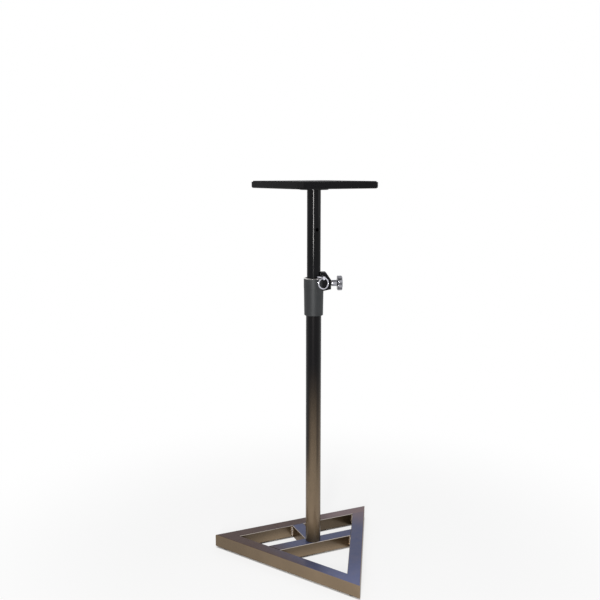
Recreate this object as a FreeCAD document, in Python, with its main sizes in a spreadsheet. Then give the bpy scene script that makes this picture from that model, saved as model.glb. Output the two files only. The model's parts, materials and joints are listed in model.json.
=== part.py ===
import FreeCAD, Part
import math
import os

import Sketcher

# Height-adjustable speaker stand with one mast on a triangular base.
#
# Row frame: +Z up, the stand's front towards -Y.  The origin lies on the floor, under the
# centre of the base's footprint.  The mast stands on the centroid of the triangle, which is
# behind that centre.  All sizes are millimetres and degrees.

os.makedirs("parts", exist_ok=True)
doc = FreeCAD.newDocument("speaker_stand")

# ---------------------------------------------------------------- driving dimensions

DIMENSIONS = [
    # triangular base, welded from square tube
    ("base_side", 410, "side of the triangle, measured at the sharp outer corners"),
    ("beam_size", 30, "width and height of the square tube"),
    ("beam_wall", 2, "wall of the square tube"),
    ("beam_corner", 2.5, "outer corner radius of the square tube"),
    ("pad_thickness", 2, "rubber pad between the base and the floor"),
    ("pad_diameter", 24, "rubber pad"),
    # fixing of the mast to the crossbar
    ("mast_bolt_diameter", 10, "thread of the bolt that pulls the mast down"),
    ("mast_bolt_flats", 17, "across the flats of its head"),
    ("mast_bolt_head", 6.4, "height of its head"),
    ("mast_bolt_grip", 18, "length of thread in the plug"),
    ("mast_washer_diameter", 21, "washer under the head"),
    ("mast_washer_thickness", 2, "washer under the head"),
    ("foot_plug_height", 25, "steel plug in the foot of the lower tube"),
    ("access_hole_gap", 2, "spanner room round the washer in the crossbar's floor"),
    ("crossbar_forward", 2.4, "middle of the crossbar in front of the mast's axis"),
    ("weld_leg", 3.5, "leg of the weld beads in the base's inner corners"),
    # lower tube and cast collar
    ("lower_diameter", 35, "outside of the lower tube"),
    ("lower_wall", 1.5, "wall of the lower tube"),
    ("lower_length", 607.2, "lower tube, from the crossbar to the collar's shoulder"),
    ("collar_length", 85.4, "collar, from its foot to its rim"),
    ("collar_socket", 62.2, "depth to which the collar sits on the lower tube"),
    ("collar_band", 23.2, "straight band below the rim"),
    ("collar_diameter", 45.2, "outside of the band"),
    ("collar_step", 0.3, "radial step below the band"),
    ("collar_foot_diameter", 42.8, "outside at the collar's foot"),
    ("collar_rim_chamfer", 1.2, "outer edge of the rim"),
    ("collar_foot_chamfer", 1, "outer edge of the foot"),
    ("bush_diameter", 38, "outside of the nylon guide bush"),
    ("bush_recess", 1.5, "top of the bush below the rim"),
    ("grub_diameter", 5, "set screw that holds the collar on the lower tube"),
    ("grub_height", 20, "set screw above the collar's foot"),
    ("grub_sink", 0.4, "set screw below the collar's surface"),
    ("grub_key", 2.5, "across the flats of its socket"),
    # telescopic upper tube
    ("upper_diameter", 31, "outside of the upper tube"),
    ("upper_wall", 1.5, "wall of the upper tube"),
    ("rest_gap", 81.9, "free height between the foot plug and the glide"),
    ("hole_drop", 91.4, "first pin hole below the tube's top"),
    ("hole_pitch", 105, "spacing of the pin holes"),
    ("hole_count", 6, "number of pin holes"),
    ("hole_in_use", 2, "hole that carries the pin, counted from the top"),
    ("glide_skirt", 12, "height of the nylon glide below the tube"),
    ("glide_spigot", 18, "height of the glide inside the tube"),
    ("glide_wall", 3, "wall of the glide"),
    ("head_turn", 8.5, "turn of the platform on the base"),
    ("pin_turn", 4, "turn of the pin holes on the base"),
    # safety pin and pull ring
    ("pin_diameter", 8, "safety pin through the upper tube"),
    ("pin_seat_gap", 0.2, "pin above the collar's rim"),
    ("pin_tail", 5, "pin behind the tube"),
    ("pin_chamfer", 1, "ends of the pin"),
    ("ring_reach", 44.5, "pull ring in front of the mast's axis"),
    ("ring_end", 3.8, "pin beyond the ring"),
    ("ring_diameter", 27, "outside of the pull ring"),
    ("ring_wire", 3, "wire of the pull ring"),
    ("ring_hole_gap", 0.3, "clearance round the ring in the pin"),
    # clamp on the collar
    ("clamp_azimuth", -20, "direction of the clamp, from +X towards +Y"),
    ("clamp_drop", 12.4, "clamp screw below the rim"),
    ("block_width", 24, "clamp block, across the screw"),
    ("block_rise", 12.9, "block above the rim"),
    ("block_top_reach", 27, "outer edge of the block's top, from the mast's axis"),
    ("block_reach", 38.5, "outer face of the block, from the mast's axis"),
    ("block_face_top", 4.1, "upper edge of the outer face, below the rim"),
    ("block_face_bottom", 25.3, "lower edge of the outer face, below the rim"),
    ("block_bottom", 28.6, "underside of the block at the collar, below the rim"),
    ("block_edge", 1.2, "rounding of the block's edges"),
    ("block_top_start", 16.2, "inner face of the block above the rim"),
    ("insert_diameter", 12, "threaded insert in the block"),
    ("insert_length", 12.5, "threaded insert in the block"),
    ("screw_diameter", 8, "clamp screw"),
    ("screw_grip", 7, "screw inside the knob's head"),
    ("screw_spare", 1, "knob's bore beyond the end of the screw"),
    ("pad_slug_diameter", 10, "brass pad between the screw and the tube"),
    ("pad_slug_length", 4.5, "brass pad between the screw and the tube"),
    ("pad_slug_gap", 0.2, "pad to the upper tube"),
    ("knob_gap", 1.7, "knob's hub to the block"),
    ("hub_diameter", 14, "knob's hub"),
    ("hub_length", 13.1, "knob's hub"),
    ("knob_diameter", 35.2, "knob's head"),
    ("knob_thickness", 11, "knob's head"),
    ("knob_edge", 2, "chamfer of the knob's head"),
    ("flute_count", 8, "flutes round the knob"),
    ("flute_radius", 5.5, "flutes round the knob"),
    ("flute_depth", 2.4, "flutes round the knob"),
    # platform
    ("plate_side", 210, "platform board, across its flats"),
    ("plate_clip", 9.5, "clipped corner of the board"),
    ("plate_thickness", 14, "platform board"),
    ("plate_round", 4, "rounding of the board's lower edges"),
    ("mat_thickness", 2, "rubber mat on the board"),
    ("mat_inset", 3, "mat inside the board's edge"),
    ("flange_diameter", 65, "flange welded round the top of the upper tube"),
    ("flange_thickness", 3.5, "flange"),
    ("flange_edge", 0.8, "lower edge of the flange"),
    ("flange_screw_circle", 47, "wood screws through the flange"),
    ("flange_screw_count", 4, "wood screws through the flange"),
    ("flange_screw_diameter", 4, "wood screws through the flange"),
    ("flange_screw_head", 7.4, "countersunk heads of the wood screws"),
    ("flange_screw_length", 14, "wood screws with their heads"),
    ("flange_screw_spare", 1, "board's screw holes beyond the screws"),
    ("flange_screw_cross", 3.6, "cross recess, along its arms"),
    ("flange_screw_slot", 1, "cross recess, across its arms"),
    # radial clearances
    ("fit_gap", 0.05, "between pieces that are fixed together"),
    ("slide_gap", 0.08, "between pieces that turn or slide in each other"),
    ("bolt_gap", 0.25, "round a bolt in a plain hole"),
]

dims = doc.addObject("Spreadsheet::Sheet", "dims")
for row, (alias, number, note) in enumerate(DIMENSIONS, start=1):
    dims.set(f"A{row}", note)
    dims.set(f"B{row}", str(number))
    dims.setAlias(f"B{row}", alias)
doc.recompute()


def d(alias):
    """A driving dimension, as an expression."""
    return f"dims.{alias}"


def number(expression):
    """What an expression is worth now."""
    return float(dims.evalExpression(str(expression)))


# ---------------------------------------------------------------- places worked out from them

INRADIUS = f"({d('base_side')} * tan(30) / 2)"
MAST_Y = f"({INRADIUS} / 2)"
BEAM_TOP = f"({d('pad_thickness')} + {d('beam_size')})"
SHOULDER = f"({BEAM_TOP} + {d('lower_length')})"
COLLAR_FOOT = f"({SHOULDER} - {d('collar_socket')})"
RIM = f"({COLLAR_FOOT} + {d('collar_length')})"
PIN_AXIS = f"({RIM} + {d('pin_seat_gap')} + {d('pin_diameter')} / 2)"
UPPER_TOP = f"({PIN_AXIS} + {d('hole_drop')} + ({d('hole_in_use')} - 1) * {d('hole_pitch')})"
UPPER_FOOT = (f"({BEAM_TOP} + {d('foot_plug_height')} + {d('rest_gap')}"
              f" + {d('glide_skirt')} + {d('fit_gap')})")
FLANGE_FOOT = f"({UPPER_TOP} - {d('flange_thickness')})"
PLATE_TOP = f"({UPPER_TOP} + {d('plate_thickness')})"
CLAMP_Z = f"({RIM} - {d('clamp_drop')})"
LOWER_BORE = f"({d('lower_diameter')} / 2 - {d('lower_wall')})"
UPPER_BORE = f"({d('upper_diameter')} / 2 - {d('upper_wall')})"
UPPER_RADIUS = f"({d('upper_diameter')} / 2)"
COLLAR_RADIUS = f"({d('collar_diameter')} / 2)"
BUSH_RADIUS = f"({d('bush_diameter')} / 2)"
SLUG_INNER = f"({UPPER_RADIUS} + {d('pad_slug_gap')})"
SLUG_OUTER = f"({SLUG_INNER} + {d('pad_slug_length')})"
INSERT_INNER = f"({d('block_reach')} - {d('insert_length')})"
HUB_START = f"({d('block_reach')} + {d('knob_gap')})"
HEAD_START = f"({HUB_START} + {d('hub_length')})"
RING_RADIUS = f"(({d('ring_diameter')} - {d('ring_wire')}) / 2)"


# ---------------------------------------------------------------- sketching tools

ROUND = "full turn"


def new_body(name):
    body = doc.addObject("PartDesign::Body", name)
    body.Label = name
    body.AllowCompound = True
    return body


def place(piece, x="0", y="0", z="0", turn="0"):
    """Stand a piece at a point, turned about the vertical."""
    spot = f"vector({x}; {y}; {z})"
    piece.setExpression("Placement", f"placement({spot}; rotation(vector(0; 0; 1); {turn}))")


def origin_part(body, role):
    return next(item for item in body.Origin.OriginFeatures if item.Role == role)


def new_sketch(body, plane, name, offset="0"):
    """A sketch on one of the body's own origin planes, moved along its normal."""
    sketch = body.newObject("Sketcher::SketchObject", name)
    sketch.AttachmentSupport = [(origin_part(body, plane), "")]
    sketch.MapMode = "FlatFace"
    sketch.setExpression("AttachmentOffset.Base.z", offset)
    return sketch


def bind(sketch, kind, geometry, point, expression):
    """Tie one coordinate of a point to an expression."""
    value = number(expression)
    if abs(value) < 1e-9:
        axis = -2 if kind == "DistanceX" else -1
        sketch.addConstraint(Sketcher.Constraint("PointOnObject", geometry, point, axis))
        return
    index = sketch.addConstraint(Sketcher.Constraint(kind, -1, 1, geometry, point, value))
    sketch.setExpression(f"Constraints[{index}]", expression)


def draw_polygon(sketch, corners):
    """A closed outline through corners given as pairs of expressions."""
    spots = [FreeCAD.Vector(number(x), number(y), 0) for x, y in corners]
    count = len(corners)
    first = sketch.GeometryCount
    for index in range(count):
        line = Part.LineSegment(spots[index], spots[(index + 1) % count])
        sketch.addGeometry(line, False)
    for index in range(count):
        following = first + (index + 1) % count
        joint = Sketcher.Constraint("Coincident", first + index, 2, following, 1)
        sketch.addConstraint(joint)
    for index, (x, y) in enumerate(corners):
        bind(sketch, "DistanceX", first + index, 1, x)
        bind(sketch, "DistanceY", first + index, 1, y)


def draw_rectangle(sketch, left, right, low, high):
    draw_polygon(sketch, [(left, low), (right, low), (right, high), (left, high)])


def draw_circle(sketch, radius, x="0", y="0"):
    centre = FreeCAD.Vector(number(x), number(y), 0)
    circle = Part.Circle(centre, FreeCAD.Vector(0, 0, 1), number(radius))
    geometry = sketch.addGeometry(circle, False)
    bind(sketch, "DistanceX", geometry, 3, x)
    bind(sketch, "DistanceY", geometry, 3, y)
    index = sketch.addConstraint(Sketcher.Constraint("Radius", geometry, number(radius)))
    sketch.setExpression(f"Constraints[{index}]", radius)


def draw_hexagon(sketch, flats, x="0", y="0"):
    corner = f"({flats} / 2 / cos(30))"
    draw_polygon(sketch, [
        (f"{x} + {corner} * cos({60 * side})", f"{y} + {corner} * sin({60 * side})")
        for side in range(6)
    ])


def extrude(body, sketch, length, both_ways=False, downwards=False):
    """Add material; returns the pad."""
    pad = body.newObject("PartDesign::Pad", sketch.Name + "_pad")
    pad.Profile = sketch
    pad.SideType = "Symmetric" if both_ways else "One side"
    pad.Reversed = downwards
    pad.setExpression("Length", length)
    doc.recompute()
    return pad


def cut(body, sketch, depth=None, both_ways=False, forwards=False):
    """Take material away, through everything or to a depth, against the sketch's normal."""
    before = body.Shape.Volume
    pocket = body.newObject("PartDesign::Pocket", sketch.Name + "_cut")
    pocket.Profile = sketch
    pocket.SideType = "Symmetric" if both_ways else "One side"
    pocket.Reversed = forwards
    if depth is None:
        pocket.Type = "ThroughAll"
    else:
        pocket.setExpression("Length", depth)
    doc.recompute()
    if not body.Shape.Volume < before:
        raise RuntimeError(f"{sketch.Name} cuts nothing")
    return pocket


def spin(body, sketch, axis="V_Axis"):
    """Turn a half profile about one of the sketch's axes."""
    solid = body.newObject("PartDesign::Revolution", sketch.Name + "_turned")
    solid.Profile = sketch
    solid.ReferenceAxis = (sketch, [axis])
    solid.Angle = 360
    doc.recompute()
    return solid


def repeat_round(body, feature, axis, count):
    """Copy a feature evenly round one of the body's axes."""
    pattern = body.newObject("PartDesign::PolarPattern", feature.Name + "_round")
    pattern.Originals = [feature]
    pattern.Axis = (origin_part(body, axis), [""])
    pattern.Angle = 360
    pattern.setExpression("Occurrences", count)
    body.Tip = pattern
    doc.recompute()
    return pattern


def edges_where(shape, test):
    """Names of a shape's edges that pass a test."""
    return [f"Edge{i}" for i, edge in enumerate(shape.Edges, start=1) if test(edge)]


def dress(body, kind, size_name, size, test):
    """Round or chamfer the edges that pass a test."""
    base = body.Tip
    feature = body.newObject(f"PartDesign::{kind}", f"{body.Name}_{kind.lower()}")
    feature.Base = (base, edges_where(base.Shape, test))
    feature.setExpression(size_name, size)
    doc.recompute()
    return feature


def runs_along(edge, direction):
    if edge.Curve.TypeId != "Part::GeomLine":
        return False
    return abs(edge.tangentAt(edge.FirstParameter).dot(direction)) > 0.999


ALONG_X = FreeCAD.Vector(1, 0, 0)
ALONG_Y = FreeCAD.Vector(0, 1, 0)
ALONG_Z = FreeCAD.Vector(0, 0, 1)


# ---------------------------------------------------------------- triangular base

def square_tube(name, length):
    """A length of square tube along the body's X axis, solid inside for now."""
    body = new_body(name)
    half = f"({d('beam_size')} / 2)"
    section = new_sketch(body, "YZ_Plane", name + "_section")
    draw_rectangle(section, f"-{half}", half, f"-{half}", half)
    extrude(body, section, length, both_ways=True)
    dress(body, "Fillet", "Radius", d("beam_corner"), lambda edge: runs_along(edge, ALONG_X))
    return body


def bore_square_tube(body):
    """Hollow the tube, with its inner corners rounded to match the outer ones."""
    half = f"({d('beam_size')} / 2 - {d('beam_wall')})"
    bore = new_sketch(body, "YZ_Plane", body.Name + "_bore")
    draw_rectangle(bore, f"-{half}", half, f"-{half}", half)
    cut(body, bore, both_ways=True)


def base_beam(name, turn):
    """One side of the triangle, mitred to a sharp corner at each end."""
    width = d("beam_size")
    half_side = f"({d('base_side')} / 2)"
    margin = d("beam_size")
    body = square_tube(name, d("base_side"))
    bore_square_tube(body)
    mitre = new_sketch(body, "XY_Plane", name + "_mitre")
    for sign in ("", "-"):
        outer = f"{sign}({half_side} + {margin} / tan(30))"
        inner = f"{sign}({half_side} - ({width} + {margin}) / tan(30))"
        high = f"({width} / 2 + {margin})"
        low = f"(-{width} / 2 - {margin})"
        draw_polygon(mitre, [(outer, high), (inner, low), (outer, low)])
    cut(body, mitre, both_ways=True)
    reach = f"({INRADIUS} - {width} / 2)"
    place(body,
          x=f"-{reach} * sin({turn})",
          y=f"{MAST_Y} + {reach} * cos({turn})",
          z=f"{d('pad_thickness')} + {width} / 2",
          turn=turn)
    return body


def base_crossbar():
    """Carries the mast; its ends are cut to the inner faces of the two side beams."""
    width = d("beam_size")
    margin = d("beam_size")
    body = square_tube("base_crossbar", d("base_side"))
    bore_square_tube(body)
    ends = new_sketch(body, "XY_Plane", "crossbar_ends")
    forward = d("crossbar_forward")
    for sign in ("", "-"):
        far = f"{sign}{d('base_side')}"
        high = f"({width} / 2 + {margin})"
        low = f"(-{width} / 2 - {margin})"
        inner_high = f"{sign}({INRADIUS} - {width} + ({high} - {forward}) * sin(30)) / cos(30)"
        inner_low = f"{sign}({INRADIUS} - {width} + ({low} - {forward}) * sin(30)) / cos(30)"
        draw_polygon(ends, [(far, high), (inner_high, high), (inner_low, low), (far, low)])
    cut(body, ends, both_ways=True)
    bolt_hole = new_sketch(body, "XY_Plane", "crossbar_bolt_hole")
    draw_circle(bolt_hole, f"{d('mast_bolt_diameter')} / 2 + {d('bolt_gap')}", y=forward)
    cut(body, bolt_hole, both_ways=True)
    access = new_sketch(body, "XY_Plane", "crossbar_access_hole")
    draw_circle(access, f"{d('mast_washer_diameter')} / 2 + {d('access_hole_gap')} / 2",
                y=forward)
    cut(body, access)
    place(body, y=f"{MAST_Y} - {forward}", z=f"{d('pad_thickness')} + {width} / 2")
    return body


def base_spine():
    """Ties the crossbar to the middle of the back beam."""
    width = d("beam_size")
    length = f"({INRADIUS} - 3 * {width} / 2 + {d('crossbar_forward')})"
    body = square_tube("base_spine", length)
    bore_square_tube(body)
    place(body,
          y=f"{MAST_Y} + {INRADIUS} - {width} - {length} / 2",
          z=f"{d('pad_thickness')} + {width} / 2",
          turn="90")
    return body


def foot_pad(name, turn):
    """A thin rubber disc under one corner, where the beams' centre lines cross."""
    body = new_body(name)
    disc = new_sketch(body, "XY_Plane", name + "_disc")
    draw_circle(disc, f"{d('pad_diameter')} / 2")
    extrude(body, disc, d("pad_thickness"))
    reach = f"(2 * {INRADIUS} - {d('beam_size')})"
    place(body, x=f"-{reach} * sin({turn})", y=f"{MAST_Y} + {reach} * cos({turn})")
    return body


def base_welds():
    """Beads in the upright inner corners between the beams, the crossbar and the spine."""
    half = f"({d('beam_size')} / 2)"
    inner = f"({INRADIUS} - {d('beam_size')})"
    leg = d("weld_leg")
    body = new_body("base_welds")
    foot = f"{d('pad_thickness')} + {d('beam_corner')}"
    plan = new_sketch(body, "XY_Plane", "weld_plan", foot)

    def bead(x, y, first, second):
        """A triangular bead in the corner at (x, y), its legs in two directions."""
        draw_polygon(plan, [
            (x, y),
            (f"{x} + {leg} * cos({first})", f"{y} + {leg} * sin({first})"),
            (f"{x} + {leg} * cos({second})", f"{y} + {leg} * sin({second})"),
        ])

    back = f"({half} - {d('crossbar_forward')})"
    front = f"(-{half} - {d('crossbar_forward')})"
    behind = f"(({inner} + {back} * sin(30)) / cos(30))"
    before = f"(({inner} + {front} * sin(30)) / cos(30))"
    bead(behind, back, 180, 60)
    bead(f"-{behind}", back, 120, 0)
    bead(before, front, 240, 180)
    bead(f"-{before}", front, 0, 300)
    bead(half, back, 0, 90)
    bead(f"-{half}", back, 90, 180)
    bead(half, inner, 270, 0)
    bead(f"-{half}", inner, 180, 270)
    corner = f"({inner} * tan(60))"
    bead(corner, inner, 180, 240)
    bead(f"-{corner}", inner, 300, 0)
    bead("0", f"-2 * {inner}", 60, 120)
    extrude(body, plan, f"{d('beam_size')} - 2 * {d('beam_corner')}")
    place(body, y=MAST_Y)
    return body


base_beam("base_beam_back", "0")
base_beam("base_beam_left", "120")
base_beam("base_beam_right", "240")
base_crossbar()
base_spine()
base_welds()
foot_pad("foot_pad_left", "60")
foot_pad("foot_pad_right", "300")
foot_pad("foot_pad_front", "180")


# ---------------------------------------------------------------- foot of the mast

def tube(name, outer, inner, foot, length, turn="0"):
    """A round tube standing on the mast's axis."""
    body = new_body(name)
    section = new_sketch(body, "XY_Plane", name + "_section", foot)
    draw_circle(section, outer)
    draw_circle(section, inner)
    extrude(body, section, length)
    place(body, y=MAST_Y, turn=turn)
    return body


WASHER_FOOT = f"({BEAM_TOP} - {d('beam_wall')} - {d('mast_washer_thickness')})"


def mast_bolt():
    """Hex bolt inside the crossbar, up into the plug."""
    body = new_body("mast_bolt")
    head = new_sketch(body, "XY_Plane", "mast_bolt_head_outline", WASHER_FOOT)
    draw_hexagon(head, d("mast_bolt_flats"))
    extrude(body, head, d("mast_bolt_head"), downwards=True)
    shank = new_sketch(body, "XY_Plane", "mast_bolt_shank", WASHER_FOOT)
    draw_circle(shank, f"{d('mast_bolt_diameter')} / 2")
    reach = f"{d('mast_washer_thickness')} + {d('beam_wall')} + {d('mast_bolt_grip')}"
    extrude(body, shank, reach)
    place(body, y=MAST_Y)
    return body


tube("lower_tube", f"{d('lower_diameter')} / 2", LOWER_BORE, BEAM_TOP, d("lower_length"))
tube("mast_foot_plug", f"{LOWER_BORE} - {d('fit_gap')}",
     f"{d('mast_bolt_diameter')} / 2 + {d('fit_gap')}", BEAM_TOP, d("foot_plug_height"))
tube("mast_washer", f"{d('mast_washer_diameter')} / 2",
     f"{d('mast_bolt_diameter')} / 2 + {d('bolt_gap')}", WASHER_FOOT,
     d("mast_washer_thickness"))
mast_bolt()


# ---------------------------------------------------------------- collar

def collar():
    """Cast sleeve on top of the lower tube: a straight band above a slight taper."""
    body = new_body("collar")
    half = new_sketch(body, "XZ_Plane", "collar_profile")
    socket = f"({d('lower_diameter')} / 2 + {d('fit_gap')})"
    seat = f"({BUSH_RADIUS} + {d('fit_gap')})"
    foot_radius = f"({d('collar_foot_diameter')} / 2)"
    band_foot = f"({RIM} - {d('collar_band')})"
    draw_polygon(half, [
        (socket, COLLAR_FOOT),
        (f"{foot_radius} - {d('collar_foot_chamfer')}", COLLAR_FOOT),
        (foot_radius, f"{COLLAR_FOOT} + {d('collar_foot_chamfer')}"),
        (f"{COLLAR_RADIUS} - {d('collar_step')}", band_foot),
        (COLLAR_RADIUS, f"{band_foot} + {d('collar_step')}"),
        (COLLAR_RADIUS, f"{RIM} - {d('collar_rim_chamfer')}"),
        (f"{COLLAR_RADIUS} - {d('collar_rim_chamfer')}", RIM),
        (seat, RIM),
        (seat, SHOULDER),
        (socket, SHOULDER),
    ])
    spin(body, half)
    screw_hole = new_sketch(body, "YZ_Plane", "collar_clamp_hole")
    draw_circle(screw_hole, f"{d('pad_slug_diameter')} / 2 + {d('slide_gap')}", y=CLAMP_Z)
    cut(body, screw_hole, COLLAR_RADIUS, forwards=True)
    grub_hole = new_sketch(body, "YZ_Plane", "collar_grub_hole")
    draw_circle(grub_hole, f"{d('grub_diameter')} / 2 + {d('fit_gap')}",
                y=f"{COLLAR_FOOT} + {d('grub_height')}")
    cut(body, grub_hole, COLLAR_RADIUS)
    place(body, y=MAST_Y, turn=d("clamp_azimuth"))
    return body


def guide_bush():
    """Nylon lining of the collar's mouth, with a window for the clamp pad."""
    body = tube("guide_bush", BUSH_RADIUS, f"{UPPER_RADIUS} + {d('slide_gap')}", SHOULDER,
                f"{RIM} - {d('bush_recess')} - {SHOULDER}", turn=d("clamp_azimuth"))
    window = new_sketch(body, "YZ_Plane", "bush_window")
    draw_circle(window, f"{d('pad_slug_diameter')} / 2 + {d('bolt_gap')}", y=CLAMP_Z)
    cut(body, window, BUSH_RADIUS, forwards=True)
    return body


def collar_grub_screw():
    """Socket set screw behind the collar, tight on the lower tube."""
    body = new_body("collar_grub_screw")
    height = f"({COLLAR_FOOT} + {d('grub_height')})"
    inner = f"({d('lower_diameter')} / 2 + {d('fit_gap')})"
    slope = f"(({COLLAR_RADIUS} - {d('collar_step')} - {d('collar_foot_diameter')} / 2)"
    slope = f"{slope} / ({d('collar_length')} - {d('collar_band')} - {d('collar_foot_chamfer')}))"
    surface = f"({d('collar_foot_diameter')} / 2"
    surface = f"{surface} + {slope} * ({d('grub_height')} - {d('collar_foot_chamfer')}))"
    outer = f"({surface} - {d('grub_sink')} - {slope} * {d('grub_diameter')} / 2)"
    shank = new_sketch(body, "YZ_Plane", "grub_shank", f"-{outer}")
    draw_circle(shank, f"{d('grub_diameter')} / 2", y=height)
    extrude(body, shank, f"{outer} - {inner}")
    key = new_sketch(body, "YZ_Plane", "grub_socket", f"-{outer}")
    draw_hexagon(key, d("grub_key"), y=height)
    cut(body, key, f"({outer} - {inner}) / 2", forwards=True)
    place(body, y=MAST_Y, turn=d("clamp_azimuth"))
    return body


collar()
guide_bush()
collar_grub_screw()


# ---------------------------------------------------------------- clamp

def clamp_block():
    """Black housing on the side of the collar that carries the clamp screw.

    Its bevelled top stands above the rim, close to the upper tube.
    """
    body = new_body("clamp_block")
    side = new_sketch(body, "XZ_Plane", "block_side")
    top = f"({RIM} + {d('block_rise')})"
    draw_polygon(side, [
        ("0", top),
        ("0", f"{RIM} - {d('block_bottom')}"),
        (COLLAR_RADIUS, f"{RIM} - {d('block_bottom')}"),
        (d("block_reach"), f"{RIM} - {d('block_face_bottom')}"),
        (d("block_reach"), f"{RIM} - {d('block_face_top')}"),
        (d("block_top_reach"), top),
    ])
    extrude(body, side, d("block_width"), both_ways=True)
    outside = number(COLLAR_RADIUS) + 1

    def on_outline(edge):
        return edge.CenterOfMass.x > outside

    dress(body, "Fillet", "Radius", d("block_edge"), on_outline)
    hug = new_sketch(body, "XY_Plane", "block_hug", RIM)
    draw_circle(hug, f"{COLLAR_RADIUS} + {d('fit_gap')}")
    cut(body, hug, f"{d('block_bottom')} + {d('block_edge')}")
    behind = new_sketch(body, "XY_Plane", "block_behind")
    half = d("block_width")
    draw_rectangle(behind, "-1", d("block_top_start"), f"-{half}", half)
    cut(body, behind, both_ways=True)
    slug_room = new_sketch(body, "YZ_Plane", "block_slug_room")
    draw_circle(slug_room, f"{d('pad_slug_diameter')} / 2 + {d('bolt_gap')}", y=CLAMP_Z)
    cut(body, slug_room, INSERT_INNER, forwards=True)
    insert_room = new_sketch(body, "YZ_Plane", "block_insert_room", INSERT_INNER)
    draw_circle(insert_room, f"{d('insert_diameter')} / 2 + {d('fit_gap')}", y=CLAMP_Z)
    cut(body, insert_room, forwards=True)
    place(body, y=MAST_Y, turn=d("clamp_azimuth"))
    return body


def along_clamp(name, outer, start, end, inner=None, move="0"):
    """A round piece on the clamp screw's axis, from start to end."""
    body = new_body(name)
    section = new_sketch(body, "YZ_Plane", name + "_section", start)
    draw_circle(section, outer, y=CLAMP_Z)
    if inner is not None:
        draw_circle(section, inner, y=CLAMP_Z)
    extrude(body, section, f"{end} - {start}")
    place(body, y=MAST_Y, turn=d("clamp_azimuth"))
    return body


def clamp_knob():
    """Chromed fluted head on a round hub."""
    body = new_body("clamp_knob")
    head = new_sketch(body, "YZ_Plane", "knob_head", HEAD_START)
    draw_circle(head, f"{d('knob_diameter')} / 2")
    extrude(body, head, d("knob_thickness"))
    dress(body, "Chamfer", "Size", d("knob_edge"), lambda edge: True)
    flute = new_sketch(body, "YZ_Plane", "knob_flute", HEAD_START)
    draw_circle(flute, d("flute_radius"),
                y=f"{d('knob_diameter')} / 2 - {d('flute_depth')} + {d('flute_radius')}")
    first = cut(body, flute, d("knob_thickness"), forwards=True)
    repeat_round(body, first, "X_Axis", d("flute_count"))
    hub = new_sketch(body, "YZ_Plane", "knob_hub", HUB_START)
    draw_circle(hub, f"{d('hub_diameter')} / 2")
    extrude(body, hub, d("hub_length"))
    bore = new_sketch(body, "YZ_Plane", "knob_bore", HUB_START)
    draw_circle(bore, f"{d('screw_diameter')} / 2 + {d('fit_gap')}")
    depth = f"{d('hub_length')} + {d('screw_grip')} + {d('screw_spare')}"
    cut(body, bore, depth, forwards=True)
    place(body, y=MAST_Y, z=CLAMP_Z, turn=d("clamp_azimuth"))
    return body


clamp_block()
along_clamp("clamp_insert", f"{d('insert_diameter')} / 2", INSERT_INNER, d("block_reach"),
            inner=f"{d('screw_diameter')} / 2 + {d('slide_gap')}")
along_clamp("clamp_pad", f"{d('pad_slug_diameter')} / 2", SLUG_INNER, SLUG_OUTER)
along_clamp("clamp_screw", f"{d('screw_diameter')} / 2", f"{SLUG_OUTER} + {d('fit_gap')}",
            f"{HEAD_START} + {d('screw_grip')}")
clamp_knob()


# ---------------------------------------------------------------- telescopic mast

def upper_tube():
    """Inner tube with a row of cross holes for the safety pin."""
    body = tube("upper_tube", UPPER_RADIUS, UPPER_BORE, UPPER_FOOT,
                f"{UPPER_TOP} - {UPPER_FOOT}", turn=d("pin_turn"))
    hole = new_sketch(body, "XZ_Plane", "pin_hole")
    draw_circle(hole, f"{d('pin_diameter')} / 2 + {d('slide_gap')}",
                y=f"{UPPER_TOP} - {d('hole_drop')}")
    first = cut(body, hole, both_ways=True)
    row = body.newObject("PartDesign::LinearPattern", "pin_holes")
    row.Originals = [first]
    row.Direction = (origin_part(body, "Z_Axis"), [""])
    row.Reversed = True
    row.Mode = "Spacing"
    row.setExpression("Offset", d("hole_pitch"))
    row.setExpression("Occurrences", d("hole_count"))
    body.Tip = row
    doc.recompute()
    return body


def mast_glide():
    """Nylon glide under the upper tube, sliding in the lower one."""
    body = new_body("mast_glide")
    half = new_sketch(body, "XZ_Plane", "glide_profile")
    spigot = f"({UPPER_BORE} - {d('slide_gap')})"
    skirt = f"({LOWER_BORE} - {d('slide_gap')})"
    bore = f"({spigot} - {d('glide_wall')})"
    seat = f"({UPPER_FOOT} - {d('fit_gap')})"
    draw_polygon(half, [
        (bore, f"{seat} - {d('glide_skirt')}"),
        (skirt, f"{seat} - {d('glide_skirt')}"),
        (skirt, seat),
        (spigot, seat),
        (spigot, f"{seat} + {d('glide_spigot')}"),
        (bore, f"{seat} + {d('glide_spigot')}"),
    ])
    spin(body, half)
    place(body, y=MAST_Y)
    return body


upper_tube()
mast_glide()


# ---------------------------------------------------------------- safety pin

RING_HOLE = (f"({RING_RADIUS} - sqrt({RING_RADIUS} * {RING_RADIUS}"
             f" - {d('pin_diameter')} * {d('pin_diameter')} / 4)"
             f" + {d('ring_wire')} / 2 + {d('ring_hole_gap')})")


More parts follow.
